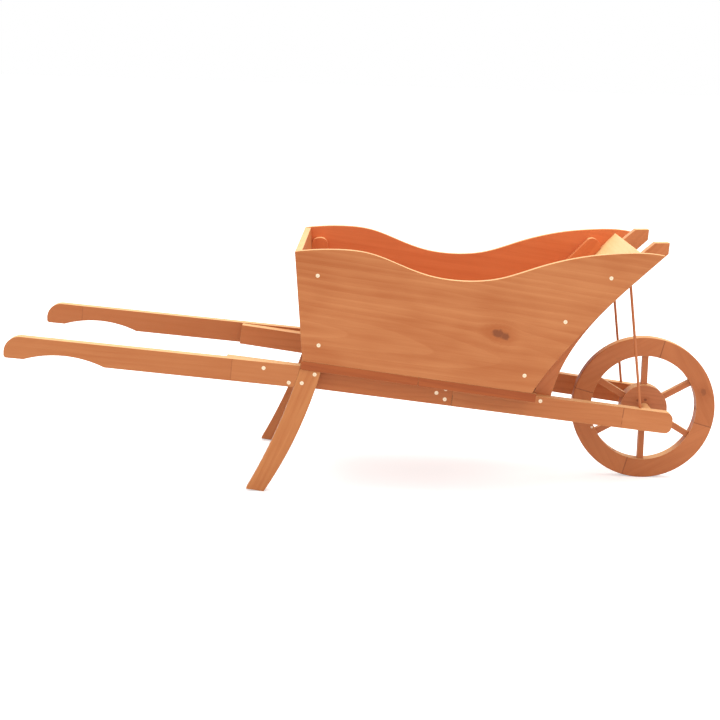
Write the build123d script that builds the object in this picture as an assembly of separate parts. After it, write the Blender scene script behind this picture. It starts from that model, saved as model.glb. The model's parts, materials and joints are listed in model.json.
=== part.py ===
from build123d import *
import os
from math import cos, hypot, radians, sin

# Wooden wheelbarrow, in millimetres. +X points forward, from the grips to the wheel, +Y to
# the pusher's left and +Z up. The origin is on the ground, under the middle of the barrow.
# Side profiles are given as (forward of the axle, above the ground).

# Overall
grip_reach = 1034.0          # axle to the end of the grips
wheel_radius = 119.2
axle_x = (grip_reach - wheel_radius) / 2
axle_z = wheel_radius

# Rails and the floor, which share one slope
deck_slope = 6.3
rail_height = 34.0
board_thickness = 18.0
floor_thickness = 14.0
rail_rear_end = -692.0
rail_outer_at_axle = 106.0   # half width over the rails at the axle
handle_inner = 147.0         # half width between the handles, which the rails meet at their rear ends
splay = (handle_inner - rail_outer_at_axle) / -rail_rear_end
wedge_rear_end = -675.0
rail_joint = -328.0
rail_front_end = 29.9
splice_thickness = 12.0

# Tray
panel_outer = 167.5          # half width over the side panels
panel_thickness = 10.0
rear_panel_thickness = 10.5
front_board_thickness = 8.5
cleat_width = 28.0
cleat_thickness = 14.0
floor_rear_end = -573.3
floor_joint = -387.7
floor_front_end = -202.1
rear_foot = (-565.0, 213.0)
rear_top = (-581.0, 384.4)
front_line = [(-218.0, 174.5), (-160.0, 254.0), (-99.0, 324.0), (-35.6, 392.2)]

# Front posts and struts
post_outer = 101.0
strut_radius = 2.2
strut_y = 96.0

# Wheel
rim_inner_radius = 88.0
rim_thickness = 20.0
hub_radius = 38.8
hub_thickness = 24.0
spoke_width = 10.0
spoke_tenon_radius = 4.0
spoke_count = 6
felloe_count = 4
first_felloe_joint = 75.3
axle_radius = 5.0
axle_clearance = 0.05
axle_half_length = 98.0
spacer_radius = 9.0
side_play = 0.5

# Screws
screw_head_radius = 3.4
screw_head_depth = 2.6
screw_radius = 1.75


def place(u, v, y=0.0):
    return Vector(axle_x + u, y, v)


def deck(s, h):
    """A point in the rails' own frame: s along the rail from the axle, h square to it."""
    tilt = radians(deck_slope)
    return (s * cos(tilt) + h * sin(tilt), axle_z - s * sin(tilt) + h * cos(tilt))


def around_axle(radius, angle):
    return (radius * cos(radians(angle)), axle_z + radius * sin(radians(angle)))


def lines(*corners):
    points = [place(*corner) for corner in corners]
    return [Line(a, b) for a, b in zip(points, points[1:])]


def arc(start, middle, end):
    return [ThreePointArc(place(*start), place(*middle), place(*end))]


def curve(*points):
    return [Spline(*[place(*point) for point in points])]


def board(edges, y_low, y_high):
    """A flat board whose side outline is the given edges, from y_low to y_high."""
    face = Face(Wire([edge for piece in edges for edge in piece.edges()]))
    return Pos(0, y_low, 0) * extrude(face, amount=y_high - y_low, dir=(0, 1, 0))


def polygon_board(corners, y_low, y_high):
    return board(lines(*corners, corners[0]), y_low, y_high)


def deck_block(s_rear, s_front, h_low, h_high, y_low, y_high):
    corners = [deck(s_rear, h_low), deck(s_front, h_low), deck(s_front, h_high), deck(s_rear, h_high)]
    return polygon_board(corners, y_low, y_high)


def round_corner(part, corner, radius):
    """Round the square edge that runs across the barrow nearest to the given corner."""
    target = place(*corner)
    across = part.edges().filter_by(Axis.Y)
    nearest = min(across, key=lambda e: hypot(e.center().X - target.X, e.center().Z - target.Z))
    return fillet(nearest, radius)


def splay_line(u):
    return rail_outer_at_axle - splay * u


def splay_band(depth_outer, depth_inner):
    """Upright slab that follows the splayed rail, between two depths in from its outer face."""
    widen = hypot(1, splay)
    front, back = 60.0, -720.0
    return plan_slab([
        (front, splay_line(front) - depth_outer * widen),
        (back, splay_line(back) - depth_outer * widen),
        (back, splay_line(back) - depth_inner * widen),
        (front, splay_line(front) - depth_inner * widen),
    ])


def plan_slab(corners):
    """Upright slab over an outline seen from above."""
    points = [Vector(axle_x + u, y, 0) for u, y in corners]
    edges = [Line(a, b) for a, b in zip(points, points[1:] + points[:1])]
    return extrude(Face(Wire(edges)), amount=400, dir=(0, 0, 1))


def step_sideways(start, end, distance):
    """Unit normal of a side-view segment, times the distance. Positive is to its right."""
    length = hypot(end[0] - start[0], end[1] - start[1])
    return ((end[1] - start[1]) / length * distance, -(end[0] - start[0]) / length * distance)


def parallel_line(points, distance):
    """The same bent line, moved sideways by the distance and mitred at each bend."""
    steps = [step_sideways(a, b, distance) for a, b in zip(points, points[1:])]
    moved = [(points[0][0] + steps[0][0], points[0][1] + steps[0][1])]
    for here, before, after in zip(points[1:-1], steps, steps[1:]):
        total = (before[0] + after[0], before[1] + after[1])
        scale = 2 * distance * distance / (total[0] ** 2 + total[1] ** 2)
        moved.append((here[0] + total[0] * scale, here[1] + total[1] * scale))
    moved.append((points[-1][0] + steps[-1][0], points[-1][1] + steps[-1][1]))
    return moved


def along(start, end, distance):
    """The point at a distance from the start towards the end; negative goes the other way."""
    length = hypot(end[0] - start[0], end[1] - start[1])
    share = distance / length
    return (start[0] + (end[0] - start[0]) * share, start[1] + (end[1] - start[1]) * share)


def below_floor_top():
    return deck_block(-800, 120, -60, rail_height / 2 + floor_thickness, -200, 200)


# Screws: a countersunk head that finishes flush, with a cross recess

def screw_body(point, direction, length):
    plane = Plane(origin=point, z_dir=direction)
    head = Solid.make_cone(screw_head_radius, screw_radius, screw_head_depth, plane)
    shank = Solid.make_cylinder(screw_radius, length, plane)
    return head.fuse(shank)


def screw(point, direction, length):
    plane = Plane(origin=point, z_dir=direction)
    cross = Box(3.8, 0.9, 2.2) + Box(0.9, 3.8, 2.2)
    return Part() + screw_body(point, direction, length) - plane.location * cross


def inward_from_side(u, v, y, length):
    return (place(u, v, y), (0, -1, 0), length)


def inward_from_rail(u, v, length):
    return (place(u, v, splay_line(u)), (-splay, -1, 0), length)


def outward_into_rail(u, v, length):
    depth = (board_thickness + splice_thickness) * hypot(1, splay)
    return (place(u, v, splay_line(u) - depth), (splay, 1, 0), length)


def frame_screw_list():
    """Screws on the left side that hold the handle, leg, rails and post together."""
    handle_outer = handle_inner + board_thickness
    at_handle = [(-625.3, 198.8), (-585.4, 176.8), (-565.0, 176.7), (-545.2, 191.1)]
    found = [inward_from_side(u, v, handle_outer, 34) for u, v in at_handle]
    at_rear_rail = [(-351.8, 159.5), (-337.1, 165.9), (-338.2, 149.3)]
    found += [inward_from_rail(u, v, 26) for u, v in at_rear_rail]
    at_front_rail = [(-313.0, 160.0), (-297.0, 153.0), (-312.0, 145.0)]
    found += [outward_into_rail(u, v, 26) for u, v in at_front_rail]
    found.append(inward_from_rail(-184.8, 149.4, 30))
    return found


def tray_screw_list():
    """Screws on the left side that hold the tray together and to the rails."""
    at_cleats = [(-544.4, 347.9), (-540.2, 238.2), (-217.4, 200.8), (-157.6, 287.8), (-90.0, 358.6)]
    found = [inward_from_side(u, v, panel_outer, 22) for u, v in at_cleats]
    cleat_y = panel_outer - panel_thickness - cleat_thickness / 2
    ahead = step_sideways(rear_foot, rear_top, 1)
    for share in (0.12, 0.66):
        u = rear_foot[0] + (rear_top[0] - rear_foot[0]) * share
        v = rear_foot[1] + (rear_top[1] - rear_foot[1]) * share
        found.append((place(u, v, cleat_y), (ahead[0], 0, ahead[1]), 26))
    for start, end in zip(front_line, front_line[1:]):
        middle = ((start[0] + end[0]) / 2, (start[1] + end[1]) / 2)
        out = step_sideways(start, end, front_board_thickness)
        back = step_sideways(start, end, -1)
        surface = place(middle[0] + out[0], middle[1] + out[1], cleat_y)
        found.append((surface, (back[0], 0, back[1]), 24))
    start, end = front_line[1], front_line[2]
    forward = step_sideways(start, end, 1)
    middle = ((start[0] + end[0]) / 2, (start[1] + end[1]) / 2)
    post_y = post_outer - board_thickness / 2
    found.append((place(middle[0], middle[1], post_y), (forward[0], 0, forward[1]), 20))
    up = (sin(radians(deck_slope)), 0, cos(radians(deck_slope)))
    down = (-up[0], 0, -up[2])
    for s in (-520, -415, -365, -235):
        u, v = deck(s, rail_height / 2 + floor_thickness)
        found.append((place(u, v, splay_line(u) - board_thickness / 2), down, 34))
    for s in (-500, -425, -345, -250):
        u, v = deck(s, rail_height / 2)
        found.append((place(u, v, panel_outer - panel_thickness / 2), up, 30))
    return found


all_screws = frame_screw_list() + tray_screw_list()


def drill(part):
    """Take the screws' own shapes out of a left-hand piece."""
    box = part.bounding_box()
    for point, direction, length in all_screws:
        tool = screw_body(point, direction, length)
        reach = tool.bounding_box()
        clear = (reach.max.X < box.min.X or reach.min.X > box.max.X
                 or reach.max.Y < box.min.Y or reach.min.Y > box.max.Y
                 or reach.max.Z < box.min.Z or reach.min.Z > box.max.Z)
        if not clear:
            part = part - tool
    return part


def drill_both(part):
    """Drill a piece that spans both sides: left screws, then the mirrored ones."""
    once = drill(part)
    return mirror(drill(mirror(once, about=Plane.XZ)), about=Plane.XZ)


# Legs and handles lie in one plane, outside the rails

def leg_front_edge():
    return arc((-620.8, 0.0), (-580.7, 72.4), (-530.9, 215.0))


def leg_blank():
    rear = arc((-564.0, 215.0), (-615.6, 71.0), (-649.5, 3.5))
    foot = lines((-649.5, 3.5), (-620.8, 0.0))
    top = lines((-530.9, 215.0), (-564.0, 215.0))
    edges = rear + foot + leg_front_edge() + top
    return board(edges, handle_inner, handle_inner + board_thickness)


def leg():
    under_floor = deck_block(-700, -400, rail_height / 2, 90, 100, 200)
    return drill(leg_blank() - under_floor)


def handle():
    fall = 0.0717
    height = 35.6
    bottom = (-584.0, 170.0)
    butt = -560.0

    def under(u):
        return bottom[1] - fall * (u - bottom[0])

    relief = arc((-1002.7, 200.0), (-939.5, 207.3), (-875.5, under(-875.5)))
    end_top = (-grip_reach, under(-grip_reach) + height)
    edges = lines((-grip_reach, 202.0), (-1002.7, 200.0)) + relief
    edges += lines((-875.5, under(-875.5)), (butt, under(butt)), (butt, under(butt) + height),
                   end_top, (-grip_reach, 202.0))
    blank = board(edges, handle_inner, handle_inner + board_thickness)
    blank = round_corner(blank, end_top, 25)
    blank = round_corner(blank, (-grip_reach, 202.0), 5)
    under_floor = deck_block(floor_rear_end, floor_joint, rail_height / 2, 90, 100, 200)
    return drill(blank - leg_blank() - under_floor)


# Rails: two lengths a side, butted together over a splice plate

def rail(s_rear, s_front):
    blank = deck_block(s_rear, s_front, -rail_height / 2, rail_height / 2, 60, 200)
    return blank & splay_band(0, board_thickness)


def rail_rear():
    return drill(rail(rail_rear_end, rail_joint))


def rail_front():
    part = rail(rail_joint, rail_front_end)
    part = round_corner(part, deck(rail_front_end, rail_height / 2), 11)
    part = round_corner(part, deck(rail_front_end, -rail_height / 2), 11)
    part = part - axle() - strut()
    return drill(part)


def rail_wedge():
    """The packing that fills the narrow gap between a rail and the upright plane of its handle and leg."""
    half = rail_height / 2
    blank = deck_block(wedge_rear_end, -500, -half, half, 100, handle_inner)
    front, back = -500.0, -700.0
    gap = plan_slab([(front, handle_inner), (back, handle_inner),
                     (back, splay_line(back)), (front, splay_line(front))])
    ahead = lines((-530.9, 215.0), (-400.0, 215.0), (-400.0, 0.0), (-620.8, 0.0))
    beyond_leg = board(leg_front_edge() + ahead, 100, handle_inner)
    return drill((blank & gap) - beyond_leg)


def splice_plate():
    blank = deck_block(rail_joint - 50, rail_joint + 50, -14.5, 14.5, 60, 200)
    return drill(blank & splay_band(board_thickness, board_thickness + splice_thickness))


# Tray

def floor_board(s_rear, s_front):
    low = rail_height / 2
    part = deck_block(s_rear, s_front, low, low + floor_thickness, -panel_outer, panel_outer)
    return drill_both(part)


def rear_face(v, ahead):
    """A point at height v, a distance ahead of the rear panel's outer face."""
    share = (v - rear_foot[1]) / (rear_top[1] - rear_foot[1])
    step = step_sideways(rear_foot, rear_top, ahead)
    return (rear_foot[0] + (rear_top[0] - rear_foot[0]) * share + step[0], v + step[1])


def rear_panel():
    step = rear_panel_thickness
    foot, top = 195.0, rear_top[1]
    corners = [rear_face(foot, 0), rear_face(foot, step), rear_face(top, step), rear_face(top, 0)]
    corners[2] = (corners[2][0], top)
    inner_half = panel_outer - panel_thickness
    return drill_both(polygon_board(corners, -inner_half, inner_half) - below_floor_top())


def side_panel():
    foot, heel = rear_face(195.0, 0), rear_face(rear_top[1], 0)
    corner = rear_face(385.2, rear_panel_thickness)
    tip = (-8.0, 395.7)
    nose = (-212.0, 158.0)
    top = curve(corner, (-544.5, 388.7), (-507.0, 389.6), (-467.7, 385.7), (-407.0, 364.6),
                (-367.7, 352.2), (-318.0, 346.6), (-263.0, 351.8), (-203.8, 371.4),
                (-126.0, 391.5), (-66.5, 398.0), (-36.7, 398.8), tip)
    front = curve(tip, (-56.6, 349.8), (-102.8, 303.4), (-148.8, 250.3), (-181.0, 210.0), nose)
    edges = lines(foot, heel, corner) + top + front + lines(nose, foot)
    part = board(edges, panel_outer - panel_thickness, panel_outer) - below_floor_top()
    return drill(part)


def cleat_span():
    inner = panel_outer - panel_thickness
    return inner - cleat_thickness, inner


def rear_cleat():
    back, front = rear_panel_thickness, rear_panel_thickness + cleat_width
    foot, top = 190.0, 366.5
    corners = [rear_face(foot, back), rear_face(foot, front), rear_face(top, front), rear_face(top, back)]
    part = polygon_board(corners, *cleat_span()) - below_floor_top()
    for corner in corners[2:]:
        part = round_corner(part, corner, 12)
    return drill(part)


def front_line_run(stop_short):
    """The front boards' inner line, run down past the floor and stopped short of its top."""
    foot = along(front_line[0], front_line[1], -30)
    top = along(front_line[3], front_line[2], stop_short)
    return [foot, front_line[1], front_line[2], top]


def front_cleat():
    run = front_line_run(31)
    inner = parallel_line(run, -cleat_width)
    corners = run + inner[::-1]
    part = polygon_board(corners, *cleat_span()) - below_floor_top()
    for corner in (run[-1], inner[-1]):
        part = round_corner(part, corner, 12)
    return drill(part)


def front_board_blank(index):
    run = front_line_run(0)
    outer = parallel_line(run, front_board_thickness)
    corners = [run[index], outer[index], outer[index + 1], run[index + 1]]
    inner_half = panel_outer - panel_thickness
    return polygon_board(corners, -inner_half, inner_half) - below_floor_top()


def front_board(index):
    return drill_both(front_board_blank(index))


# Front posts and the thin struts that prop them off the rails

def post_blank():
    front = curve((9.2, 390.8), (-69.8, 314.7), (-133.6, 235.6), (-166.5, 155.0))
    foot = lines((-166.5, 155.0), (-175.5, 127.0), (-200.5, 131.5), (-192.1, 163.5))
    rear = curve((-192.1, 163.5), (-156.7, 249.5), (-89.2, 333.4), (-28.7, 393.4))
    tip = lines((-28.7, 393.4), (-12.5, 407.7), (10.3, 408.4), (9.2, 390.8))
    return board(front + foot + rear + tip, post_outer - board_thickness, post_outer)


def strut():
    low, high = (-21.5, 139.0), (-47.0, 336.0)
    bottom = along(low, high, -10)
    top = along(high, low, -12)
    start = place(*bottom, strut_y)
    run = place(*top, strut_y) - start
    return Part() + Solid.make_cylinder(strut_radius, run.length, Plane(origin=start, z_dir=run))


def front_post():
    part = post_blank() - rail(rail_joint, rail_front_end) - strut()
    for index in range(3):
        part = part - front_board_blank(index)
    return drill(part)


# Wheel: four felloes, six spokes with round tenons, a disc hub on a fixed axle

def disc(radius, half_thickness):
    plane = Plane(origin=place(0, axle_z, -half_thickness), z_dir=(0, 1, 0))
    return Part() + Solid.make_cylinder(radius, 2 * half_thickness, plane)


def axle():
    return disc(axle_radius, axle_half_length)


def axle_spacer():
    start = hub_thickness / 2 + side_play
    end = splay_line(spacer_radius) - board_thickness * hypot(1, splay)
    length = end - start
    plane = Plane(origin=place(0, axle_z, start), z_dir=(0, 1, 0))
    tube = Part() + Solid.make_cylinder(spacer_radius, length, plane)
    return tube - axle()


def spoke_tenon(index):
    turn = 90 + index * 360 / spoke_count
    start = place(*around_axle(hub_radius - 14, turn))
    run = place(*around_axle(rim_inner_radius + 12, turn)) - start
    return Part() + Solid.make_cylinder(spoke_tenon_radius, run.length, Plane(origin=start, z_dir=run))


def spoke(index):
    turn = 90 + index * 360 / spoke_count
    bar = Pos(60, 0, 0) * Box(110, spoke_width, spoke_width)
    bar = Pos(*place(0, axle_z)) * (Rot(0, -turn, 0) * bar)
    bar = (bar & disc(rim_inner_radius, 40)) - disc(hub_radius, 40)
    return bar + spoke_tenon(index)


def joint_dowel(index):
    """A dowel across one butt joint between two felloes."""
    turn = first_felloe_joint + index * 360 / felloe_count
    middle = place(*around_axle((wheel_radius + rim_inner_radius) / 2, turn))
    across = Vector(-sin(radians(turn)), 0, cos(radians(turn)))
    return Part() + Solid.make_cylinder(3, 24, Plane(origin=middle - across * 12, z_dir=across))


def rim_nail():
    start = place(*around_axle(92, 203), -rim_thickness / 2)
    return Part() + Solid.make_cylinder(1.6, 16, Plane(origin=start, z_dir=(0, 1, 0)))


def felloe(index):
    step = 360 / felloe_count
    start = first_felloe_joint + index * step
    outer = [around_axle(wheel_radius, start + step * share) for share in (0, 0.5, 1)]
    inner = [around_axle(rim_inner_radius, start + step * share) for share in (1, 0.5, 0)]
    edges = arc(*outer) + lines(outer[2], inner[0]) + arc(*inner) + lines(inner[2], outer[0])
    part = board(edges, -rim_thickness / 2, rim_thickness / 2)
    rounded = [e for e in part.edges().filter_by(GeomType.CIRCLE) if abs(e.radius - wheel_radius) < 0.01]
    part = fillet(rounded, 2)
    for spoke_index in range(spoke_count):
        part = part - spoke_tenon(spoke_index)
    for joint in range(felloe_count):
        part = part - joint_dowel(joint)
    return part - rim_nail()


def hub():
    part = disc(hub_radius, hub_thickness / 2) - disc(axle_radius + axle_clearance, 40)
    for index in range(spoke_count):
        part = part - spoke_tenon(index)
    return part


def both_sides(name, part):
    return {name + "_left": part, name + "_right": mirror(part, about=Plane.XZ)}


def screw_group(screws):
    left = [screw(*entry) for entry in screws]
    right = [mirror(one, about=Plane.XZ) for one in left]
    return Compound(children=[solid for one in left + right for solid in one.solids()])


def all_parts():
    found = {}
    paired = {
        "handle": handle, "leg": leg, "rail_rear": rail_rear, "rail_front": rail_front,
        "rail_wedge": rail_wedge, "splice_plate": splice_plate, "side_panel": side_panel,
        "rear_cleat": rear_cleat, "front_cleat": front_cleat, "front_post": front_post,
        "strut": strut, "axle_spacer": axle_spacer,
    }
    for name, make in paired.items():
        found.update(both_sides(name, make()))
    found["floor_board_rear"] = floor_board(floor_rear_end, floor_joint)
    found["floor_board_front"] = floor_board(floor_joint, floor_front_end)
    found["rear_panel"] = rear_panel()
    for index, place_name in enumerate(("lower", "middle", "upper")):
        found["front_board_" + place_name] = front_board(index)
    for index in range(felloe_count):
        found["felloe_" + str(index + 1)] = felloe(index)
    for index in range(spoke_count):
        found["spoke_" + str(index + 1)] = spoke(index)
    found["hub"] = hub()
    found["axle"] = axle()
    found["rim_nail"] = rim_nail()
    dowels = [joint_dowel(index) for index in range(felloe_count)]
    found["felloe_dowels"] = Compound(children=[solid for one in dowels for solid in one.solids()])
    found["frame_screws"] = screw_group(frame_screw_list())
    found["tray_screws"] = screw_group(tray_screw_list())
    return found


os.makedirs("parts", exist_ok=True)
for part_name, shape in all_parts().items():
    solids = shape.solids()
    whole = solids[0] if len(solids) == 1 else Compound(children=list(solids))
    export_step(whole, "parts/" + part_name + ".step")
    size = whole.bounding_box().size
    print(part_name, len(solids), "solids", round(size.X, 1), round(size.Y, 1), round(size.Z, 1))
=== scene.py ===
import bmesh
import bpy
import json
from math import cos, pi, radians, sin
from mathutils import Matrix, Vector

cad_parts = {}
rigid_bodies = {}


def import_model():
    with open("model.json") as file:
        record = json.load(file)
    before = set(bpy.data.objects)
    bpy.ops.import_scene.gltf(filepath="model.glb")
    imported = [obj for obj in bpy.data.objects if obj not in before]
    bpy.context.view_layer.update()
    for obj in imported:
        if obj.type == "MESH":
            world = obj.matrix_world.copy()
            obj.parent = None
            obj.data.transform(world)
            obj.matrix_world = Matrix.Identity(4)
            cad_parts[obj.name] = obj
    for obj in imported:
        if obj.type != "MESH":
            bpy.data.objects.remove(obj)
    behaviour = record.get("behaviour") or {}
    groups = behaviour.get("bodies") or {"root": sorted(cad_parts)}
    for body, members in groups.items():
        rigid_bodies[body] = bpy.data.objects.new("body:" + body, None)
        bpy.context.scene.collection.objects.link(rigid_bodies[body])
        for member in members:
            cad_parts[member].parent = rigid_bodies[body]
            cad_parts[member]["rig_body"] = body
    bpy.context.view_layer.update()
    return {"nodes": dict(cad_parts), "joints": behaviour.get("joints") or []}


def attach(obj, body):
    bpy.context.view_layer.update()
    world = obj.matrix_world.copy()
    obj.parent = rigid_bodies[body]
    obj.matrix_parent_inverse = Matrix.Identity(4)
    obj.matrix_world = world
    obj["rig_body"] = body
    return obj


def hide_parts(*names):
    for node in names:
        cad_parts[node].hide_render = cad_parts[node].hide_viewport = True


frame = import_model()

axle = Vector(frame["joints"][0]["pos_m"])
mm = 0.001


# small helpers for node trees

def feed(tree, term, socket):
    if isinstance(term, bpy.types.NodeSocket):
        tree.links.new(term, socket)
    else:
        socket.default_value = term


def addNode(tree, kind, settings=None, **terms):
    # an underscore in a term's name stands for a space in the socket's
    node = tree.nodes.new(kind)
    for name, value in (settings or {}).items():
        setattr(node, name, value)
    for name, term in terms.items():
        feed(tree, term, node.inputs[name.replace("_", " ")])
    return node


def calc(tree, operation, *terms, clamp=False):
    node = addNode(tree, "ShaderNodeMath", {"operation": operation, "use_clamp": clamp})
    for socket, term in zip(node.inputs, terms):
        feed(tree, term, socket)
    return node.outputs[0]


def plus(tree, first, *others):
    for other in others:
        first = calc(tree, "ADD", first, other)
    return first


def minus(tree, first, second):
    return calc(tree, "SUBTRACT", first, second)


def times(tree, first, *others):
    for other in others:
        first = calc(tree, "MULTIPLY", first, other)
    return first


def swing(tree, value, amount):
    # a value from 0 to 1, moved to lie about 0 and scaled
    return times(tree, minus(tree, value, 0.5), amount)


def reach(tree, first, second):
    return calc(tree, "SQRT", plus(tree, times(tree, first, first), times(tree, second, second)))


def vectorCalc(tree, operation, *terms):
    node = addNode(tree, "ShaderNodeVectorMath", {"operation": operation})
    for socket, term in zip(node.inputs, terms):
        feed(tree, term, socket)
    return node.outputs["Value" if operation == "DOT_PRODUCT" else "Vector"]


def stretch(tree, vector, scales):
    return vectorCalc(tree, "MULTIPLY", vector, scales)


def shifted(tree, board, moved, plain):
    return vectorCalc(tree, "ADD", board, vectorCalc(tree, "SUBTRACT", moved, plain))


def split(tree, vector):
    return addNode(tree, "ShaderNodeSeparateXYZ", Vector=vector).outputs


def joined(tree, x=0.0, y=0.0, z=0.0):
    return addNode(tree, "ShaderNodeCombineXYZ", X=x, Y=y, Z=z).outputs[0]


def ease(tree, value, low, high):
    node = addNode(tree, "ShaderNodeMapRange", {"interpolation_type": "SMOOTHSTEP"})
    for socket, term in zip(node.inputs, (value, low, high, 0.0, 1.0)):
        feed(tree, term, socket)
    return node.outputs[0]


def fade(tree, value, low, high):
    return minus(tree, 1.0, ease(tree, value, low, high))


def noise(tree, vector, scale, detail):
    node = addNode(tree, "ShaderNodeTexNoise", Vector=vector, Scale=scale, Detail=detail)
    return node.outputs["Fac"]


def blend(tree, amount, first, second):
    node = addNode(tree, "ShaderNodeMix", {"data_type": "RGBA"})
    for socket, term in zip((node.inputs[0], node.inputs[6], node.inputs[7]), (amount, first, second)):
        feed(tree, term, socket)
    return node.outputs[2]


def objectPlace(tree):
    return addNode(tree, "ShaderNodeTexCoord").outputs["Object"]


def shaderGroup(name, inputs, outputs):
    tree = bpy.data.node_groups.new(name, "ShaderNodeTree")
    for label, kind, value in inputs:
        socket = tree.interface.new_socket(label, in_out="INPUT", socket_type="NodeSocket" + kind)
        socket.default_value = value
    for label, kind in outputs:
        tree.interface.new_socket(label, in_out="OUTPUT", socket_type="NodeSocket" + kind)
    return tree, tree.nodes.new("NodeGroupInput").outputs, tree.nodes.new("NodeGroupOutput").inputs


def useGroup(tree, group, **terms):
    return addNode(tree, "ShaderNodeGroup", {"node_tree": group}, **terms).outputs


# shared effects, each a shader group; board space has its x along the grain and z through the board

grainValues = {
    "seedShift": (1.7, 2.3, 0.9),
    "bendScale": (3.2, 10.0, 10.0), "bendDetail": 1.5,
    "patchScale": (6.0, 22.0, 22.0), "patchDetail": 2.0,
    "fibreScale": (22.0, 620.0, 620.0), "fibreDetail": 3.0,
    "streakScale": (2.4, 75.0, 75.0), "streakDetail": 2.5,
    "cloudScale": (9.0, 16.0, 16.0), "cloudDetail": 2.0,
    "bendAcross": 3.0, "patchLeast": 0.25,
    "lateWood": (0.35, 0.93), "ringEnd": (0.94, 1.0),
    "patchRange": (0.25, 0.75), "streakRange": (0.28, 0.72), "cloudRange": (0.25, 0.75),
}


def makeGrainGroup(values):
    # growth rings round a pith line, with fibres, streaks and clouds drawn out along the board
    tree, given, out = shaderGroup(
        "softwoodGrain",
        [("Board", "Vector", (0, 0, 0)), ("Ring Gap", "Float", 0.007), ("Pith Depth", "Float", 0.05),
         ("Pith Tilt", "Float", 0.03), ("Pith Start", "Vector", (0, 0, 0)), ("Wander", "Float", 0.012),
         ("Seed", "Float", 0.0)],
        [("Rings", "Float"), ("Fibre", "Float"), ("Streak", "Float"), ("Cloud", "Float")])
    shift = joined(tree, *(times(tree, given["Seed"], share) for share in values["seedShift"]))

    def field(name):
        place = vectorCalc(tree, "ADD", stretch(tree, given["Board"], values[name + "Scale"]), shift)
        return noise(tree, place, 1.0, values[name + "Detail"])

    bend = swing(tree, field("bend"), given["Wander"])
    parts = split(tree, vectorCalc(tree, "SUBTRACT", given["Board"], given["Pith Start"]))
    across = plus(tree, parts["Y"], times(tree, bend, values["bendAcross"]))
    depth = plus(tree, parts["Z"], given["Pith Depth"], bend, times(tree, parts["X"], given["Pith Tilt"]))
    phase = calc(tree, "FRACT", calc(tree, "DIVIDE", reach(tree, across, depth), given["Ring Gap"]))
    late = times(tree, ease(tree, phase, *values["lateWood"]), fade(tree, phase, *values["ringEnd"]))
    patchy = ease(tree, field("patch"), *values["patchRange"])
    least = values["patchLeast"]
    feed(tree, times(tree, late, plus(tree, times(tree, patchy, 1 - least), least)), out["Rings"])
    feed(tree, field("fibre"), out["Fibre"])
    feed(tree, ease(tree, field("streak"), *values["streakRange"]), out["Streak"])
    feed(tree, ease(tree, field("cloud"), *values["cloudRange"]), out["Cloud"])
    return tree


knotValues = {"raggedScale": 240.0, "raggedDetail": 2.0, "ragged": 0.9, "pull": -0.75, "pullFall": -0.16,
              "core": (0.55, 1.15), "halo": (0.9, 3.6)}


def makeKnotGroup(values):
    # a dark core and a halo, with the grain drawn in towards them
    tree, given, out = shaderGroup(
        "knotMark",
        [("Board", "Vector", (0, 0, 0)), ("Centre", "Vector", (0, 0, 0)), ("Radius", "Float", 0.006),
         ("Length", "Float", 1.6)],
        [("Board", "Vector"), ("Core", "Float"), ("Halo", "Float")])
    away = split(tree, vectorCalc(tree, "SUBTRACT", given["Board"], given["Centre"]))
    ragged = noise(tree, given["Board"], values["raggedScale"], values["raggedDetail"])
    span = reach(tree, calc(tree, "DIVIDE", away["X"], given["Length"]), away["Y"])
    share = plus(tree, calc(tree, "DIVIDE", span, given["Radius"]), swing(tree, ragged, values["ragged"]))
    fall = calc(tree, "EXPONENT", times(tree, share, share, values["pullFall"]))
    pull = joined(tree, y=times(tree, away["Y"], fall, values["pull"]))
    feed(tree, vectorCalc(tree, "ADD", given["Board"], pull), out["Board"])
    feed(tree, fade(tree, share, *values["core"]), out["Core"])
    feed(tree, fade(tree, share, *values["halo"]), out["Halo"])
    return tree


jointValues = {"jump": (0.31, 0.017, 0.011), "breakupScale": 95.0, "breakupDetail": 1.0,
               "broken": (0.32, 0.50)}


def makeLengthJointGroup(values):
    # a line across the board, past which the grain is another board's
    tree, given, out = shaderGroup(
        "lengthJoint",
        [("Board", "Vector", (0, 0, 0)), ("Place", "Float", 0.0), ("Line Width", "Float", 0.0011)],
        [("Board", "Vector"), ("Line", "Float"), ("Side", "Float")])
    offset = minus(tree, split(tree, given["Board"])["X"], given["Place"])
    side = calc(tree, "GREATER_THAN", offset, 0.0)
    jump = joined(tree, *(times(tree, side, share) for share in values["jump"]))
    feed(tree, vectorCalc(tree, "ADD", given["Board"], jump), out["Board"])
    near = fade(tree, calc(tree, "ABSOLUTE", offset), 0.0, given["Line Width"])
    breakup = noise(tree, given["Board"], values["breakupScale"], values["breakupDetail"])
    feed(tree, times(tree, near, ease(tree, breakup, *values["broken"])), out["Line"])
    feed(tree, side, out["Side"])
    return tree


def makeRadialSeamGroup():
    # straight joint lines that run out from a centre in the xz plane
    tree, given, out = shaderGroup(
        "radialSeams",
        [("Place", "Vector", (0, 0, 0)), ("Centre", "Vector", (0, 0, 0)), ("First Angle", "Float", 0.0),
         ("Count", "Float", 4.0), ("Line Width", "Float", 0.0013)],
        [("Line", "Float")])
    away = split(tree, vectorCalc(tree, "SUBTRACT", given["Place"], given["Centre"]))
    angle = minus(tree, calc(tree, "ARCTAN2", away["Z"], away["X"]), given["First Angle"])
    halfStep = times(tree, calc(tree, "DIVIDE", 2 * pi, given["Count"]), 0.5)
    gap = times(tree, calc(tree, "PINGPONG", angle, halfStep), reach(tree, away["X"], away["Z"]))
    feed(tree, fade(tree, gap, 0.0, given["Line Width"]), out["Line"])
    return tree


edgeWearAndHighlightValues = {"bevelSamples": 6, "detail": 3.0, "broken": (0.3, 0.65), "edge": (0.01, 0.16), "least": 0.4}


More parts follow.
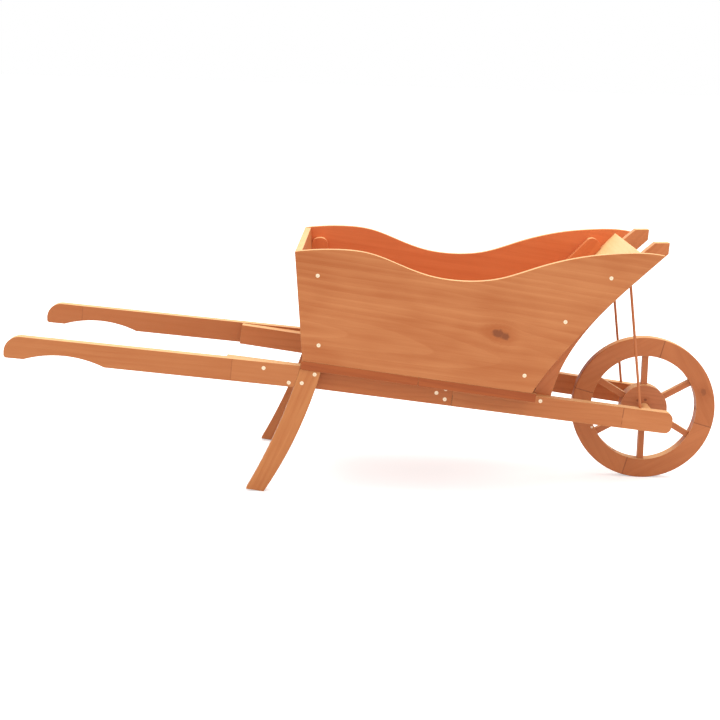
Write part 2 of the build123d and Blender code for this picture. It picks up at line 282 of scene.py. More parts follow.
def makeEdgeWearAndHighlightGroup(values):
    # paler where an edge turns, in patches: partly edge wear, partly a painted highlight along the arrises
    tree, given, out = shaderGroup("edgeWear", [("Width", "Float", 0.0012), ("Breakup", "Float", 160.0)],
                                   [("Worn", "Float")])
    rounded = addNode(tree, "ShaderNodeBevel", {"samples": values["bevelSamples"]}, Radius=given["Width"])
    flat = addNode(tree, "ShaderNodeNewGeometry").outputs["True Normal"]
    turned = minus(tree, 1.0, vectorCalc(tree, "DOT_PRODUCT", rounded.outputs[0], flat))
    broken = ease(tree, noise(tree, objectPlace(tree), given["Breakup"], values["detail"]), *values["broken"])
    patches = plus(tree, times(tree, broken, 1 - values["least"]), values["least"])
    feed(tree, times(tree, ease(tree, turned, *values["edge"]), patches), out["Worn"])
    return tree


paintedTopLightValues = {"scale": 38.0, "detail": 4.0, "patches": (0.3, 0.7), "upward": (0.55, 0.95), "least": 0.8}


def makePaintedTopLightGroup(values):
    # painted highlight: faces that look up are painted paler, standing in for the light from above
    # the faces that look up are paler, as the photo shows them
    tree, given, out = shaderGroup("upwardBleach", [("Amount", "Float", 0.5)], [("Bleach", "Float")])
    up = split(tree, addNode(tree, "ShaderNodeNewGeometry").outputs["Normal"])["Z"]
    broken = ease(tree, noise(tree, objectPlace(tree), values["scale"], values["detail"]), *values["patches"])
    patches = plus(tree, times(tree, broken, 1 - values["least"]), values["least"])
    feed(tree, times(tree, ease(tree, up, *values["upward"]), patches, given["Amount"]), out["Bleach"])
    return tree


softwoodGrain = makeGrainGroup(grainValues)
knotMark = makeKnotGroup(knotValues)
lengthJoint = makeLengthJointGroup(jointValues)
radialSeams = makeRadialSeamGroup()
edgeWear = makeEdgeWearAndHighlightGroup(edgeWearAndHighlightValues)
upwardBleach = makePaintedTopLightGroup(paintedTopLightValues)
print("shared shader groups ready")


# wood: one material per board, so that each has its own grain, tint, knots and joints

stainValues = {
    "light": (0.560, 0.205, 0.072, 1), "dark": (0.400, 0.110, 0.028, 1),
    "knot": (0.170, 0.046, 0.017, 1),
    # next line: the arris colour, partly edge wear and partly a painted highlight, then a painted highlight
    # colour for faces that look up
    "worn": (0.930, 0.600, 0.250, 1), "bleached": (0.930, 0.600, 0.270, 1),
    "roughness": 0.38, "fibreDullness": 0.16, "wornDullness": 0.12, "bleachDullness": 0.25,
    "specular": 0.22, "coat": 0.05, "coatRoughness": 0.30,
    "bumpDistance": 0.00035, "bumpStrength": 0.55,
    "fibreHeight": 0.55, "ringHeight": 0.35, "knotSink": 0.5, "jointSink": 0.9,
    "seed": 0.0, "grainWay": (1, 0, 0), "faceWay": (0, 1, 0),
    "ringGap": 0.0075, "wander": 0.012, "pithDepth": 0.05, "pithTilt": 0.03, "pithStart": (0, 0, 0),
    "baseDepth": 0.06, "ringStrength": 0.30, "streakStrength": 0.30, "fibreStrength": 0.40,
    "cloudStrength": 0.26, "toneStrength": 0.40, "toneScale": (1.3, 1.3, 1.3),
    "knots": (), "knotDepth": 0.74, "haloStrength": 0.30,
    "lengthJoints": (), "jointTone": 0.3, "jointDepth": 0.75,
    "seamCount": 0, "seamAngle": 0.0, "seamDepth": 0.85,
    # next line: strength of the arris colour (edge wear and painted highlight), then strength of the painted
    # top highlight
    "wear": 0.50, "bleachAmount": 0.62, "repeated": False,
}


def boardTurn(grainWay, faceWay):
    rowX = Vector(grainWay).normalized()
    rowZ = Vector(faceWay).normalized()
    rowY = rowZ.cross(rowX)
    return Matrix((rowX, rowY, rowZ)).to_euler()


def repeatedPlace(tree):
    # a repeated piece carries its place along the grain, and a jump that differs from copy to copy
    place = addNode(tree, "ShaderNodeAttribute", {"attribute_name": "grainPlace"}).outputs["Vector"]
    jump = addNode(tree, "ShaderNodeAttribute", {"attribute_name": "grainJump"}).outputs["Vector"]
    return vectorCalc(tree, "ADD", place, jump)


def makeWood(name, changes):
    values = {**stainValues, **changes}
    material = bpy.data.materials.new(name)
    material.use_nodes = True
    tree = material.node_tree
    shader = tree.nodes["Principled BSDF"]
    turn = boardTurn(values["grainWay"], values["faceWay"])
    place = objectPlace(tree)
    plain = addNode(tree, "ShaderNodeMapping", Vector=place, Rotation=turn).outputs[0]
    board = repeatedPlace(tree) if values["repeated"] else plain
    tone = noise(tree, stretch(tree, board, values["toneScale"]), 1.0, 0.0)

    line, core, halo = 0.0, 0.0, 0.0
    for jointPlace in values["lengthJoints"]:
        joint = useGroup(tree, lengthJoint, Board=plain, Place=jointPlace)
        board = shifted(tree, board, joint["Board"], plain)
        line = calc(tree, "MAXIMUM", line, joint["Line"])
        tone = plus(tree, tone, times(tree, joint["Side"], values["jointTone"]))
    for centre, radius, stretched in values["knots"]:
        centre = turn.to_matrix() @ Vector(centre)
        knot = useGroup(tree, knotMark, Board=plain, Centre=centre, Radius=radius, Length=stretched)
        board = shifted(tree, board, knot["Board"], plain)
        core = calc(tree, "MAXIMUM", core, knot["Core"])
        halo = calc(tree, "MAXIMUM", halo, knot["Halo"])

    grain = useGroup(tree, softwoodGrain, Board=board, Seed=values["seed"],
                     Ring_Gap=values["ringGap"], Wander=values["wander"],
                     Pith_Depth=values["pithDepth"], Pith_Tilt=values["pithTilt"],
                     Pith_Start=turn.to_matrix() @ Vector(values["pithStart"]))
    depth = plus(tree, times(tree, grain["Rings"], values["ringStrength"]), values["baseDepth"],
                 times(tree, grain["Streak"], values["streakStrength"]),
                 swing(tree, grain["Fibre"], values["fibreStrength"]),
                 swing(tree, grain["Cloud"], values["cloudStrength"]),
                 swing(tree, tone, values["toneStrength"]))
    depth = calc(tree, "ADD", depth, times(tree, halo, values["haloStrength"]), clamp=True)

    colour = blend(tree, depth, values["light"], values["dark"])
    colour = blend(tree, times(tree, core, values["knotDepth"]), colour, values["knot"])
    colour = blend(tree, times(tree, line, values["jointDepth"]), colour, values["knot"])
    if values["seamCount"]:
        seam = useGroup(tree, radialSeams, Place=place, Centre=axle, Count=values["seamCount"],
                        First_Angle=radians(values["seamAngle"]))["Line"]
        colour = blend(tree, times(tree, seam, values["seamDepth"]), colour, values["knot"])
    # the arrises are blended towards a paler colour: partly edge wear, partly a painted highlight
    worn = useGroup(tree, edgeWear)["Worn"]
    colour = blend(tree, times(tree, worn, values["wear"]), colour, values["worn"])
    # painted highlight: faces that look up are blended towards a paler colour, in place of the light from
    # above
    topHighlight = useGroup(tree, upwardBleach, Amount=values["bleachAmount"])["Bleach"]
    feed(tree, blend(tree, topHighlight, colour, values["bleached"]), shader.inputs["Base Color"])

    dull = plus(tree, times(tree, grain["Fibre"], values["fibreDullness"]), values["roughness"],
                times(tree, worn, values["wornDullness"]))
    dull = calc(tree, "ADD", dull, times(tree, topHighlight, values["bleachDullness"]), clamp=True)
    feed(tree, dull, shader.inputs["Roughness"])
    shader.inputs["Specular IOR Level"].default_value = values["specular"]
    shader.inputs["Coat Weight"].default_value = values["coat"]
    shader.inputs["Coat Roughness"].default_value = values["coatRoughness"]

    height = plus(tree, times(tree, grain["Fibre"], values["fibreHeight"]),
                  times(tree, grain["Rings"], values["ringHeight"]))
    height = minus(tree, height, times(tree, core, values["knotSink"]))
    height = minus(tree, height, times(tree, line, values["jointSink"]))
    bump = addNode(tree, "ShaderNodeBump", Height=height, Strength=values["bumpStrength"],
                   Distance=values["bumpDistance"])
    feed(tree, bump.outputs[0], shader.inputs["Normal"])
    return material


# boards: each CAD board is stood for by a copy with its doubles merged and its arrises eased

arrisValues = {
    "width": 0.9 * mm, "thinBoardWidth": 0.7 * mm, "roundPieceWidth": 0.5 * mm, "segments": 2,
    "mergeDistance": 2e-6, "flatAngle": 0.4, "sharpAngle": 32.0, "hardAngle": 50.0, "faceWeight": 85,
    "screwClear": 5.5 * mm, "screwReach": (-2 * mm, 40 * mm),
}
seatValues = {"mergeDistance": 1e-6}


def meshData(mesh, name):
    data = bpy.data.meshes.new(name)
    mesh.to_mesh(data)
    mesh.free()
    return data


def bakedMesh(holder):
    bpy.context.view_layer.update()
    return bpy.data.meshes.new_from_object(holder.evaluated_get(bpy.context.evaluated_depsgraph_get()))


def plainPiece(name, data):
    piece = bpy.data.objects.new(name, data)
    bpy.context.scene.collection.objects.link(piece)
    return piece


def screwSeats(nodeName):
    # every screw's head centre and the way it drives; each loose part of the CAD node is one screw
    mesh = bmesh.new()
    mesh.from_mesh(frame["nodes"][nodeName].data)
    bmesh.ops.remove_doubles(mesh, verts=mesh.verts, dist=seatValues["mergeDistance"])
    waiting, seats = set(mesh.verts), []
    while waiting:
        island, edge = set(), [waiting.pop()]
        while edge:
            vertex = edge.pop()
            island.add(vertex)
            for link in vertex.link_edges:
                other = link.other_vert(vertex)
                if other in waiting:
                    waiting.discard(other)
                    edge.append(other)
        seats.append(headSeat({face for vertex in island for face in vertex.link_faces}))
    mesh.free()
    return sorted(seats, key=lambda seat: tuple(round(x, 5) for x in seat[0]))


def headSeat(faces):
    # the head's flat top is the largest area that faces one way
    areas, middles = {}, {}
    for face in faces:
        key = tuple(round(x, 2) for x in face.normal)
        area = face.calc_area()
        areas[key] = areas.get(key, 0.0) + area
        middles.setdefault(key, []).append((area, face.calc_center_median(), face.normal.copy()))
    best = middles[max(areas, key=areas.get)]
    total = sum(area for area, middle, normal in best)
    centre = sum((middle * area for area, middle, normal in best), Vector()) / total
    return centre, -best[0][2]


seats = {name: screwSeats(name) for name in ("frame_screws", "tray_screws")}
allSeats = seats["frame_screws"] + seats["tray_screws"]
print("screws found:", len(allSeats))


def nearScrew(point):
    for centre, way in allSeats:
        along = (point - centre).dot(way)
        off = (point - centre - way * along).length
        low, high = arrisValues["screwReach"]
        if off < arrisValues["screwClear"] and low < along < high:
            return True
    return False


def easedMesh(nodeName, width):
    mesh = bmesh.new()
    mesh.from_mesh(frame["nodes"][nodeName].data)
    bmesh.ops.remove_doubles(mesh, verts=mesh.verts, dist=arrisValues["mergeDistance"])
    bmesh.ops.dissolve_limit(mesh, angle_limit=radians(arrisValues["flatAngle"]),
                             verts=mesh.verts, edges=mesh.edges)
    limit = radians(arrisValues["sharpAngle"])
    sharp = [edge for edge in mesh.edges
             if edge.is_manifold and edge.calc_face_angle(0.0) > limit
             and not nearScrew((edge.verts[0].co + edge.verts[1].co) / 2)]
    bmesh.ops.bevel(mesh, geom=sharp, offset=width, offset_type="OFFSET", segments=arrisValues["segments"],
                    profile=0.5, affect="EDGES", clamp_overlap=True)
    return flatFaced(meshData(mesh, nodeName))


def flatFaced(data):
    # corner normals weighed by area, so that broad faces shade flat and only the arrises roll over
    for polygon in data.polygons:
        polygon.use_smooth = True
    data.set_sharp_from_angle(angle=radians(arrisValues["hardAngle"]))
    holder = plainPiece("normals", data)
    weigh = holder.modifiers.new("weigh", "WEIGHTED_NORMAL")
    weigh.weight, weigh.keep_sharp = arrisValues["faceWeight"], True
    done = bakedMesh(holder)
    bpy.data.objects.remove(holder)
    return done


def easedBoard(nodeName, material, width):
    data = easedMesh(nodeName, width)
    data.materials.clear()
    data.materials.append(material)
    piece = plainPiece(nodeName.replace("_", "-"), data)
    body = frame["nodes"][nodeName]["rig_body"]
    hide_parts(nodeName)
    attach(piece, body)


# ways that grain runs and faces look
deckSlope, handleSlope = radians(6.3), radians(4.1)
deckWay = (cos(deckSlope), 0, -sin(deckSlope))
deckUp = (sin(deckSlope), 0, cos(deckSlope))
handleWay = (cos(handleSlope), 0, -sin(handleSlope))
legWay = (0.42, 0, 0.907)
postWay = (0.68, 0, 0.733)
rearCleatWay = (-0.093, 0, 0.996)
frontCleatWay = (0.66, 0, 0.75)
strutWay = (-0.128, 0, 0.992)
forward = (1, 0, 0)
sideways = (0, 1, 0)
upward = (0, 0, 1)


def spot(ahead, height):
    # a place given in mm ahead of the axle and above the floor
    return (axle.x + ahead * mm, 0.0, height * mm)


handleValues = {
    "handle_right": {"seed": 3.1, "lengthJoints": (-0.232,), "jointTone": -0.08},
    "handle_left": {"seed": 8.4, "lengthJoints": (-0.528,), "light": (0.450, 0.145, 0.048, 1)},
}
legValues = {
    "leg_right": {"seed": 5.2, "light": (0.545, 0.212, 0.070, 1)},
    "leg_left": {"seed": 6.7, "light": (0.450, 0.150, 0.050, 1)},
}
railValues = {
    "rail_rear_right": {"seed": 11.3, "lengthJoints": (0.1136,)},
    "rail_rear_left": {"seed": 12.9, "lengthJoints": (0.1136,)},
    "rail_front_right": {"seed": 14.2, "lengthJoints": (0.1136, 0.390), "jointTone": 0.0,
                         "light": (0.530, 0.190, 0.066, 1)},
    "rail_front_left": {"seed": 15.8, "lengthJoints": (0.1136,), "jointTone": 0.0},
    "rail_wedge_right": {"seed": 16.3},
    "rail_wedge_left": {"seed": 17.1},
    "splice_plate_right": {"seed": 18.8},
    "splice_plate_left": {"seed": 19.5},
}
panelValues = {
    "side_panel_right": {
        "seed": 21.4, "pithDepth": 0.012, "pithTilt": 0.11, "ringGap": 0.012, "wander": 0.013,
        "pithStart": (axle.x - 0.470, -0.1675, 0.247), "ringStrength": -0.30,
        "baseDepth": 0.26, "streakStrength": 0.34,
        "light": (0.530, 0.196, 0.068, 1),
        "cloudStrength": 0.45,
        "knots": [(spot(-261, 266), 0.0074, 1.5), (spot(-250, 262), 0.0058, 1.4)],
    },
    "side_panel_left": {
        "seed": 23.9, "pithDepth": 0.035, "ringGap": 0.013, "wander": 0.016, "ringStrength": 0.16,
        # painted bounce light: the far side panel's redder, more saturated colours stand in for warm light
        # reflected inside the box
        "light": (0.715, 0.200, 0.066, 1), "dark": (0.575, 0.125, 0.034, 1),
    },
}
crossBoardValues = {
    "rear_panel": {"seed": 31.2, "faceWay": (1, 0, 0.093)},
    "front_board_lower": {"seed": 36.0, "faceWay": (-0.81, 0, 0.59)},
    "front_board_middle": {"seed": 37.7, "faceWay": (-0.75, 0, 0.66)},
    # painted highlight: the upper front board faces up, and its paler colours stand in for the strong light
    # from above
    "front_board_upper": {"seed": 39.3, "faceWay": (-0.73, 0, 0.68), "light": (0.860, 0.560, 0.270, 1),
                          "dark": (0.720, 0.400, 0.150, 1)},
}
floorValues = {
    "floor_board_rear": {"seed": 33.1, "lengthJoints": (0.0539,)},
    "floor_board_front": {"seed": 34.6, "lengthJoints": (0.0539,), "jointTone": 0.2},
}
cleatValues = {
    "rear_cleat_right": {"seed": 41.2, "grainWay": rearCleatWay},
    "rear_cleat_left": {"seed": 42.8, "grainWay": rearCleatWay},
    "front_cleat_right": {"seed": 43.3, "grainWay": frontCleatWay},
    "front_cleat_left": {"seed": 44.9, "grainWay": frontCleatWay},
}
postValues = {
    "front_post_right": {"seed": 51.6},
    "front_post_left": {"seed": 52.2},
}


def makeBoards(table, shared):
    for nodeName, changes in table.items():
        values = {**shared, **changes}
        easedBoard(nodeName, makeWood(nodeName + "_wood", values), values["arris"])


thickBoards = {"faceWay": sideways, "arris": arrisValues["width"]}
thinBoards = {"faceWay": sideways, "arris": arrisValues["thinBoardWidth"]}

makeBoards(handleValues, {**thickBoards, "grainWay": handleWay, "light": (0.500, 0.180, 0.061, 1),
                          "jointDepth": 0.42, "ringStrength": 0.20})
makeBoards(legValues, {**thickBoards, "grainWay": legWay, "ringStrength": 0.18})
makeBoards(railValues, {**thickBoards, "grainWay": deckWay, "light": (0.500, 0.158, 0.050, 1)})
makeBoards(panelValues, {**thinBoards, "grainWay": deckWay})
makeBoards(crossBoardValues, {**thinBoards, "grainWay": sideways})
# painted shade: the floor boards get darker colours and a weaker painted top highlight, standing in for the
# shade on their ends under the side panels
makeBoards(floorValues, {**thinBoards, "grainWay": deckWay, "faceWay": deckUp,
                         "light": (0.400, 0.097, 0.022, 1), "dark": (0.250, 0.047, 0.009, 1),
                         "streakStrength": 0.5, "bleachAmount": 0.24})
# painted bounce light: the cleats inside the box get redder, more saturated colours like the far side
# panel's, standing in for warm light reflected inside the box
makeBoards(cleatValues, {**thickBoards, "light": (0.680, 0.190, 0.060, 1),
                         "dark": (0.52, 0.115, 0.032, 1)})
makeBoards(postValues, {**thickBoards, "grainWay": postWay, "light": (0.540, 0.180, 0.064, 1)})
print("boards done")


# struts, spacers, dowels and hub: round wood

roundValues = {
    "strut_right": {"seed": 61.0, "grainWay": strutWay, "faceWay": sideways},
    "strut_left": {"seed": 62.0, "grainWay": strutWay, "faceWay": sideways},
    "axle_spacer_right": {"seed": 63.0, "grainWay": sideways, "faceWay": forward},
    "axle_spacer_left": {"seed": 64.0, "grainWay": sideways, "faceWay": forward},
    "felloe_dowels": {"seed": 65.0, "grainWay": forward, "faceWay": sideways},
    "hub": {"seed": 66.0, "grainWay": (1, 0, -0.05), "faceWay": sideways, "ringGap": 0.006,
            "light": (0.470, 0.160, 0.064, 1), "dark": (0.340, 0.100, 0.034, 1),
            "knots": [((axle.x - 0.010, 0, axle.z + 0.013), 0.0027, 1.3),
                      ((axle.x + 0.002, 0, axle.z + 0.014), 0.0024, 1.3)]},
}
roundPieces = {"light": (0.500, 0.165, 0.060, 1), "arris": arrisValues["roundPieceWidth"]}
for nodeName, changes in roundValues.items():
    makeBoards({nodeName: changes}, roundPieces)
print("round pieces done")


# Geometry Nodes helpers

def geometryTree(name, inputs):
    tree = bpy.data.node_groups.new(name, "GeometryNodeTree")
    tree.interface.new_socket("Geometry", in_out="OUTPUT", socket_type="NodeSocketGeometry")
    tree.interface.new_socket("Geometry", in_out="INPUT", socket_type="NodeSocketGeometry")
    for label, kind, value in inputs:
        socket = tree.interface.new_socket(label, in_out="INPUT", socket_type="NodeSocket" + kind)
        if value is not None:
            socket.default_value = value
    return tree, tree.nodes.new("NodeGroupInput").outputs, tree.nodes.new("NodeGroupOutput").inputs


def runTree(holder, tree, values):
    modifier = holder.modifiers.new("build", "NODES")
    modifier.node_group = tree
    identifiers = {item.name: item.identifier for item in tree.interface.items_tree
                   if item.in_out == "INPUT"}
    for name, value in values.items():
        modifier[identifiers[name]] = value
    data = bakedMesh(holder)
    holder.modifiers.clear()
    bpy.data.objects.remove(holder)
    return data


# wheel rim and spokes: one shape set round the axle

ringValues = {"spokes": 6, "felloes": 4, "grainJump": 0.37, "sideJump": 0.021}
felloeWay = (cos(radians(30)), 0, sin(radians(30)))
spokeValues = {"repeated": True, "seed": 71.0, "ringGap": 0.005, "light": (0.460, 0.150, 0.056, 1)}
felloeValues = {
    "repeated": True, "seed": 73.0, "ringGap": 0.010, "ringStrength": 0.18, "grainWay": (-0.29, 0, 0.957),
    "light": (0.490, 0.162, 0.056, 1), "dark": (0.370, 0.104, 0.030, 1),
    "knots": [((axle.x + 0.0985, 0, axle.z + 0.030), 0.0046, 1.5)], "knotDepth": 0.5,
    "seamCount": ringValues["felloes"], "seamAngle": 75.3,
}


def makeRingTree():
    tree, given, out = geometryTree("setRoundAxle", [
        ("Count", "Int", 6), ("Centre", "Vector", (0, 0, 0)), ("Grain Jump", "Float", 0.3),
        ("Side Jump", "Float", 0.0),
        ("Shape", "Object", None), ("Material", "Material", None)])
    points = addNode(tree, "GeometryNodePoints", Count=given["Count"], Position=given["Centre"])
    shape = addNode(tree, "GeometryNodeObjectInfo", Object=given["Shape"])
    index = addNode(tree, "GeometryNodeInputIndex").outputs[0]
    step = calc(tree, "DIVIDE", -2 * pi, given["Count"])
    placed = addNode(tree, "GeometryNodeInstanceOnPoints", Points=points.outputs[0],
                     Instance=shape.outputs["Geometry"], Rotation=joined(tree, y=times(tree, step, index)))
    jump = joined(tree, times(tree, index, given["Grain Jump"]), times(tree, index, given["Side Jump"]))
    tagged = addNode(tree, "GeometryNodeStoreNamedAttribute",
                     {"data_type": "FLOAT_VECTOR", "domain": "INSTANCE"},
                     Geometry=placed.outputs[0], Name="grainJump", Value=jump)
    real = addNode(tree, "GeometryNodeRealizeInstances", Geometry=tagged.outputs[0])
    painted = addNode(tree, "GeometryNodeSetMaterial", Geometry=real.outputs[0], Material=given["Material"])
    feed(tree, painted.outputs[0], out["Geometry"])
    return tree


ringTree = makeRingTree()


def repeatedPiece(name, nodeNames, grainWay, material):
    # the first CAD piece, brought to the axle, is the shape that the tree repeats
    data = easedMesh(nodeNames[0], arrisValues["width"])
    data.transform(Matrix.Translation(-axle))
    turn = boardTurn(grainWay, sideways).to_matrix()
    store = data.attributes.new("grainPlace", "FLOAT_VECTOR", "POINT")
    for vertex, entry in zip(data.vertices, store.data):
        entry.vector = turn @ vertex.co
    shape = plainPiece(name + "Shape", data)
    holder = plainPiece(name + "Holder", bpy.data.meshes.new(name + "Holder"))
    made = runTree(holder, ringTree, {
        "Count": len(nodeNames), "Centre": axle, "Grain Jump": ringValues["grainJump"],
        "Side Jump": ringValues["sideJump"], "Shape": shape, "Material": material})
    bpy.data.objects.remove(shape)
    piece = plainPiece(name, flatFaced(made))
    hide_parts(*nodeNames)
    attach(piece, "wheel")


spokeNames = ["spoke_%d" % (i + 1) for i in range(ringValues["spokes"])]
felloeNames = ["felloe_%d" % (i + 1) for i in range(ringValues["felloes"])]
repeatedPiece("spokes", spokeNames, upward, makeWood("spoke_wood", spokeValues))
repeatedPiece("felloes", felloeNames, felloeWay, makeWood("felloe_wood", felloeValues))
print("wheel done")


# steel: screws set by a tree on the CAD's own screw seats, a domed nail, and the CAD's axle

steelValues = {
    "colour": (0.95, 0.80, 0.60, 1), "tarnish": (0.66, 0.48, 0.30, 1), "tarnishShare": 0.22,
    "roughness": 0.42, "speckDullness": 0.18, "metallic": 0.55,
    "speckScale": 900.0, "speckDetail": 3.0, "specks": (0.42, 0.70),
    "cloudScale": 100.0, "cloudDetail": 2.0, "clouds": (0.35, 0.75),
    "wornWidth": 0.0003, "wear": 0.35, "bumpStrength": 0.2, "bumpDistance": 0.00005,
}
screwValues = {
    "headRadius": 3.0 * mm, "headDepth": 2.2 * mm, "sunk": 0.25 * mm, "shankRadius": 1.7 * mm,
    "threadDepth": 0.35 * mm, "threadGap": 1.6 * mm, "point": 3 * mm, "sides": 28,
    "slotLength": 3.8 * mm, "slotWidth": 0.9 * mm, "slotDepth": 1.1 * mm, "slotTaper": 0.6,
    "turnSeed": 7, "frameLength": 26 * mm, "trayLength": 20 * mm,
}


def makeSteel(name, values):
    material = bpy.data.materials.new(name)
    material.use_nodes = True
    tree = material.node_tree
    shader = tree.nodes["Principled BSDF"]
    place = objectPlace(tree)
    specks = ease(tree, noise(tree, place, values["speckScale"], values["speckDetail"]), *values["specks"])
    clouds = ease(tree, noise(tree, place, values["cloudScale"], values["cloudDetail"]), *values["clouds"])
    stained = times(tree, plus(tree, specks, clouds), values["tarnishShare"])
    worn = useGroup(tree, edgeWear, Width=values["wornWidth"])["Worn"]
    colour = blend(tree, stained, values["colour"], values["tarnish"])
    colour = blend(tree, times(tree, worn, values["wear"]), colour, values["colour"])
    feed(tree, colour, shader.inputs["Base Color"])
    dull = plus(tree, times(tree, specks, values["speckDullness"]), values["roughness"])
    feed(tree, dull, shader.inputs["Roughness"])
    shader.inputs["Metallic"].default_value = values["metallic"]
    bump = addNode(tree, "ShaderNodeBump", Height=specks, Strength=values["bumpStrength"],
                   Distance=values["bumpDistance"])
    feed(tree, bump.outputs[0], shader.inputs["Normal"])
    return material


def screwProfile(length):
    # rows of (radius, depth) from the head's middle to the point
    values = screwValues
    root, tip = values["shankRadius"] - values["threadDepth"], length - values["point"]
    rows = [(0.0, 0.0), (values["headRadius"], 0.0), (values["shankRadius"], values["headDepth"])]
    depth = values["headDepth"] + values["threadGap"]
    while depth < tip:
        rows.append((root, depth))
        rows.append((values["shankRadius"], depth + values["threadGap"] / 2))
        depth += values["threadGap"]
    return rows + [(root, tip), (0.0, length)]


def turnedMesh(name, rows, sides):
    # rows of (radius, height) from end to end, spun round z
    mesh = bmesh.new()
    rings = []
    for radius, height in rows:
        if radius == 0.0:
            rings.append([mesh.verts.new((0, 0, height))] * sides)
            continue
        angles = [2 * pi * i / sides for i in range(sides)]
        rings.append([mesh.verts.new((radius * cos(angle), radius * sin(angle), height)) for angle in angles])
    for first, second in zip(rings, rings[1:]):
        for i in range(sides):
            corners = (first[i], first[(i + 1) % sides], second[(i + 1) % sides], second[i])
            mesh.faces.new(list(dict.fromkeys(corners)))
    bmesh.ops.recalc_face_normals(mesh, faces=mesh.faces)
    return meshData(mesh, name)


def makeScrewShape(name, length):
    # a turned body, with the cross cut into its head
    body = plainPiece(name, turnedMesh(name, screwProfile(length), screwValues["sides"]))
    cutter = plainPiece(name + "Cutter", crossMesh())
    cut = body.modifiers.new("cross", "BOOLEAN")
    cut.operation, cut.object, cut.solver = "DIFFERENCE", cutter, "EXACT"
    done = bakedMesh(body)
    bpy.data.objects.remove(cutter)
    bpy.data.objects.remove(body)
    return plainPiece(name, done)


def crossMesh():
    values = screwValues
    half, arm, depth = values["slotWidth"] / 2, values["slotLength"] / 2, values["slotDepth"]
    outline = [(arm, -half), (arm, half), (half, half), (half, arm), (-half, arm), (-half, half),
               (-arm, half), (-arm, -half), (-half, -half), (-half, -arm), (half, -arm), (half, -half)]
    mesh = bmesh.new()
    low = [mesh.verts.new((x, y, -depth)) for x, y in outline]
    high = [mesh.verts.new((x * values["slotTaper"], y * values["slotTaper"], depth)) for x, y in outline]
    mesh.faces.new(low)
    mesh.faces.new(high[::-1])
    for i in range(len(outline)):
        j = (i + 1) % len(outline)
        mesh.faces.new((low[i], high[i], high[j], low[j]))
    bmesh.ops.recalc_face_normals(mesh, faces=mesh.faces)
    return meshData(mesh, "screwCross")


def makeScrewTree():
    tree, given, out = geometryTree("screwSet", [
        ("Screw", "Object", None), ("Turn Seed", "Int", 1), ("Size", "Float", 1.0),
        ("Material", "Material", None)])
    way = addNode(tree, "GeometryNodeInputNamedAttribute", {"data_type": "FLOAT_VECTOR"}, Name="driveWay")
    aim = addNode(tree, "FunctionNodeAlignRotationToVector", {"axis": "Z"}, Vector=way.outputs[0])
    spin = addNode(tree, "FunctionNodeRandomValue", {"data_type": "FLOAT"}, Seed=given["Turn Seed"])
    spin.inputs[2].default_value, spin.inputs[3].default_value = 0.0, pi / 2
    twist = addNode(tree, "FunctionNodeAxisAngleToRotation", Angle=spin.outputs[1])
    turned = addNode(tree, "FunctionNodeRotateRotation", {"rotation_space": "LOCAL"},
                     Rotation=aim.outputs[0], Rotate_By=twist.outputs[0])
    shape = addNode(tree, "GeometryNodeObjectInfo", Object=given["Screw"])
    placed = addNode(tree, "GeometryNodeInstanceOnPoints", Points=given["Geometry"],
                     Instance=shape.outputs["Geometry"], Rotation=turned.outputs[0], Scale=given["Size"])
    real = addNode(tree, "GeometryNodeRealizeInstances", Geometry=placed.outputs[0])
    painted = addNode(tree, "GeometryNodeSetMaterial", Geometry=real.outputs[0], Material=given["Material"])
    feed(tree, painted.outputs[0], out["Geometry"])
    return tree


def makeScrews(name, nodeName, length, tree, material):
    holder = plainPiece(name + "Seats", bpy.data.meshes.new(name + "Seats"))
    heads = [centre + way * screwValues["sunk"] for centre, way in seats[nodeName]]
    holder.data.from_pydata(heads, [], [])
    store = holder.data.attributes.new("driveWay", "FLOAT_VECTOR", "POINT")
    for entry, (centre, way) in zip(store.data, seats[nodeName]):
        entry.vector = way
    shape = makeScrewShape(name + "Shape", length)
    data = runTree(holder, tree, {"Screw": shape, "Turn Seed": screwValues["turnSeed"],
                                  "Material": material})
    bpy.data.objects.remove(shape)
    piece = plainPiece(name, data)
    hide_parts(nodeName)
    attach(piece, "frame")


screwSteel = makeSteel("screw_steel", steelValues)
screwTree = makeScrewTree()
makeScrews("frameScrews", "frame_screws", screwValues["frameLength"], screwTree, screwSteel)
makeScrews("trayScrews", "tray_screws", screwValues["trayLength"], screwTree, screwSteel)

nailValues = {"headRadius": 2.1 * mm, "headRise": 0.7 * mm, "neck": 0.3 * mm, "shankRadius": 1.5 * mm,
              "point": 1.0 * mm, "sides": 32, "domeSteps": 5}
axleValues = {"arris": 0.6 * mm}


def makeNail(values):
    # a small domed head on a plain shank, driven into the rim along y
    places = [vertex.co for vertex in frame["nodes"]["rim_nail"].data.vertices]
    low, high = (Vector([pick(place[i] for place in places) for i in range(3)]) for pick in (min, max))
    head, depth = (low + high) / 2, high.y - low.y
    head.y = low.y
    rows = [(0.0, -values["headRise"])]
    for step in range(1, values["domeSteps"] + 1):
        angle = pi / 2 * step / values["domeSteps"]
        rows.append((values["headRadius"] * sin(angle), -values["headRise"] * cos(angle)))
    rows += [(values["shankRadius"], values["neck"]), (values["shankRadius"], depth - values["point"]),
             (0.0, depth)]
    data = turnedMesh("rimNail", rows, values["sides"])
    data.transform(Matrix.Translation(head) @ Matrix.Rotation(-pi / 2, 4, "X"))
    data.materials.append(screwSteel)
    nail = plainPiece("rimNail", flatFaced(data))
    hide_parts("rim_nail")
    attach(nail, "wheel")


makeNail(nailValues)
easedBoard("axle", screwSteel, axleValues["arris"])
print("steel done")


# studio: pale floor, soft lights, camera

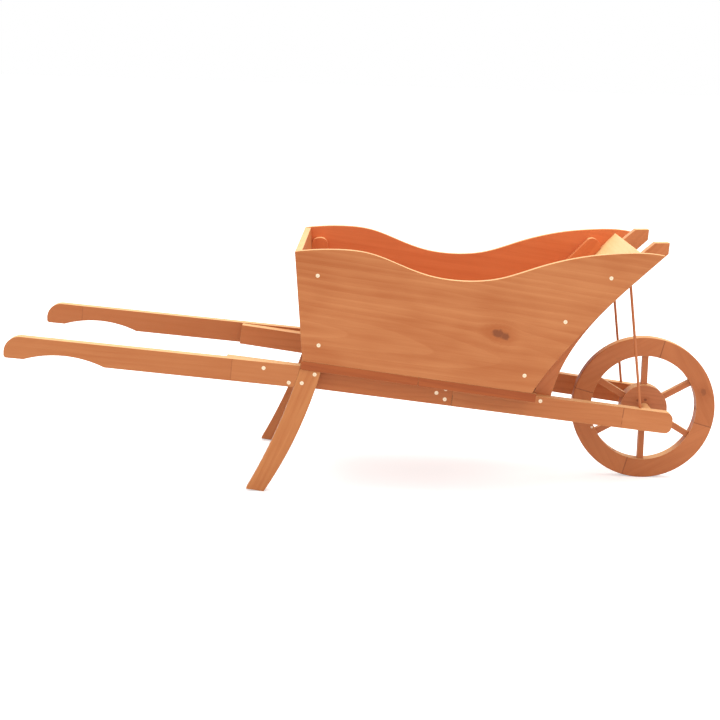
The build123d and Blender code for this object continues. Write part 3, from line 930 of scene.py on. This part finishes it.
studioValues = {
    "floorSize": 60.0, "floorColour": (0.80, 0.80, 0.80, 1), "floorGlow": 0.60, "floorSpecular": 0.1,
    "floorRoughness": 0.85, "floorGrit": 0.1, "gritScale": 3.0, "gritDetail": 2.0,
    "worldColour": (1.0, 1.0, 1.0, 1), "worldStrength": 1.0,
    "topPower": 76.0, "topSize": 3.0, "topPlace": (0.35, 0.55, 2.6),
    "frontPower": 22.0, "frontSize": 3.2, "frontPlace": (0.6, -3.2, 1.7),
    "lightColour": (1.0, 0.975, 0.94), "lightTarget": (0, 0, 0.2),
}


def makeFloorMaterial(values):
    # the floor glows for the camera only, so that it is pale without lighting the undersides
    material = bpy.data.materials.new("studio_floor")
    material.use_nodes = True
    tree = material.node_tree
    shader = tree.nodes["Principled BSDF"]
    shader.inputs["Base Color"].default_value = values["floorColour"]
    grit = noise(tree, objectPlace(tree), values["gritScale"], values["gritDetail"])
    dull = plus(tree, times(tree, grit, values["floorGrit"]), values["floorRoughness"])
    feed(tree, dull, shader.inputs["Roughness"])
    shader.inputs["Specular IOR Level"].default_value = values["floorSpecular"]
    shader.inputs["Emission Color"].default_value = values["floorColour"]
    seen = addNode(tree, "ShaderNodeLightPath").outputs["Is Camera Ray"]
    feed(tree, times(tree, seen, values["floorGlow"]), shader.inputs["Emission Strength"])
    return material


def makeStudio(values):
    bpy.ops.mesh.primitive_plane_add(size=values["floorSize"])
    floor = bpy.context.object
    floor.name = "studioFloor"
    floor.data.materials.append(makeFloorMaterial(values))
    world = bpy.data.worlds.new("studio")
    bpy.context.scene.world = world
    world.use_nodes = True
    background = world.node_tree.nodes["Background"]
    background.inputs["Color"].default_value = values["worldColour"]
    background.inputs["Strength"].default_value = values["worldStrength"]
    for name in ("top", "front"):
        light = bpy.data.lights.new(name + "Light", "AREA")
        light.energy, light.size = values[name + "Power"], values[name + "Size"]
        light.color = values["lightColour"]
        lamp = plainPiece(name + "Lamp", light)
        lamp.location = values[name + "Place"]
        aim = Vector(values["lightTarget"]) - lamp.location
        lamp.rotation_euler = aim.to_track_quat("-Z", "Y").to_euler()


cameraValues = {
    "place": (-0.003, -2.461, 0.691), "yaw": -0.50, "pitch": 7.27, "roll": 1.77,
    "lens": 74.8, "sensor": 36.0, "shiftY": -0.16,
}


def makeCamera(values):
    data = bpy.data.cameras.new("camera")
    data.lens, data.sensor_width, data.shift_y = values["lens"], values["sensor"], values["shiftY"]
    camera = plainPiece("camera", data)
    yaw, pitch, roll = (radians(values[name]) for name in ("yaw", "pitch", "roll"))
    ahead = Vector((sin(yaw) * cos(pitch), cos(yaw) * cos(pitch), -sin(pitch)))
    right = Vector((cos(yaw), -sin(yaw), 0))
    up = right.cross(ahead)
    right, up = right * cos(roll) + up * sin(roll), up * cos(roll) - right * sin(roll)
    turn = Matrix((right, up, -ahead)).transposed().to_4x4()
    camera.matrix_world = Matrix.Translation(values["place"]) @ turn
    bpy.context.scene.camera = camera


makeStudio(studioValues)
makeCamera(cameraValues)
bpy.context.scene.view_settings.view_transform = "Standard"
print("studio done")
